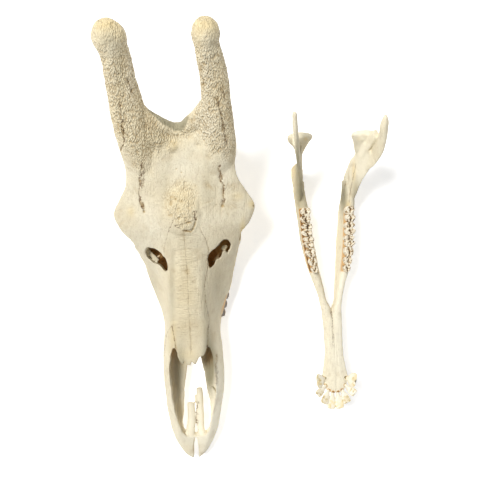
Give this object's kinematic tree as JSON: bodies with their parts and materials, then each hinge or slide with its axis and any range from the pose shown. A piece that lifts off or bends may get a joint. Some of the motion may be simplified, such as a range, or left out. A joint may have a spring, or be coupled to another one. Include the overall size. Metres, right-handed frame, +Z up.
{
  "type": "giraffe skull",
  "caption": "Giraffe skull laid out on a table: the long cranium with its blunt bone horns and grinding teeth, and the toothed lower jaw resting beside it",
  "frame": {"origin": "centre of the bounding box, at the height of the table that both bones rest on", "axes": "+Z up, +Y from the noses towards the backs of the heads, +X towards the animal's left, which is from the cranium towards the lower jaw"},
  "size_m": [0.4969, 0.809, 0.3664],
  "materials": {
    "cranium": "dry matt bone",
    "lower_jaw": "dry matt bone",
    "cheek_teeth": "worn enamel with brown stain",
    "front_teeth": "yellowed enamel"
  },
  "bodies": {
    "root": {"cranium": "cranium", "lower_jaw_left": "lower_jaw", "upper_left_premolar_1": "cheek_teeth", "lower_left_premolar_1": "cheek_teeth", "upper_left_premolar_2": "cheek_teeth", "lower_left_premolar_2": "cheek_teeth", "upper_left_premolar_3": "cheek_teeth", "lower_left_premolar_3": "cheek_teeth", "upper_left_molar_1": "cheek_teeth", "lower_left_molar_1": "cheek_teeth", "upper_left_molar_2": "cheek_teeth", "lower_left_molar_2": "cheek_teeth", "upper_left_molar_3": "cheek_teeth", "lower_left_molar_3": "cheek_teeth", "lower_left_incisor_1": "front_teeth", "lower_left_incisor_2": "front_teeth", "lower_left_incisor_3": "front_teeth", "lower_left_canine": "front_teeth", "lower_jaw_right": "lower_jaw", "upper_right_premolar_1": "cheek_teeth", "lower_right_premolar_1": "cheek_teeth", "upper_right_premolar_2": "cheek_teeth", "lower_right_premolar_2": "cheek_teeth", "upper_right_premolar_3": "cheek_teeth", "lower_right_premolar_3": "cheek_teeth", "upper_right_molar_1": "cheek_teeth", "lower_right_molar_1": "cheek_teeth", "upper_right_molar_2": "cheek_teeth", "lower_right_molar_2": "cheek_teeth", "upper_right_molar_3": "cheek_teeth", "lower_right_molar_3": "cheek_teeth", "lower_right_incisor_1": "front_teeth", "lower_right_incisor_2": "front_teeth", "lower_right_incisor_3": "front_teeth", "lower_right_canine": "front_teeth"}
  },
  "joints": []
}
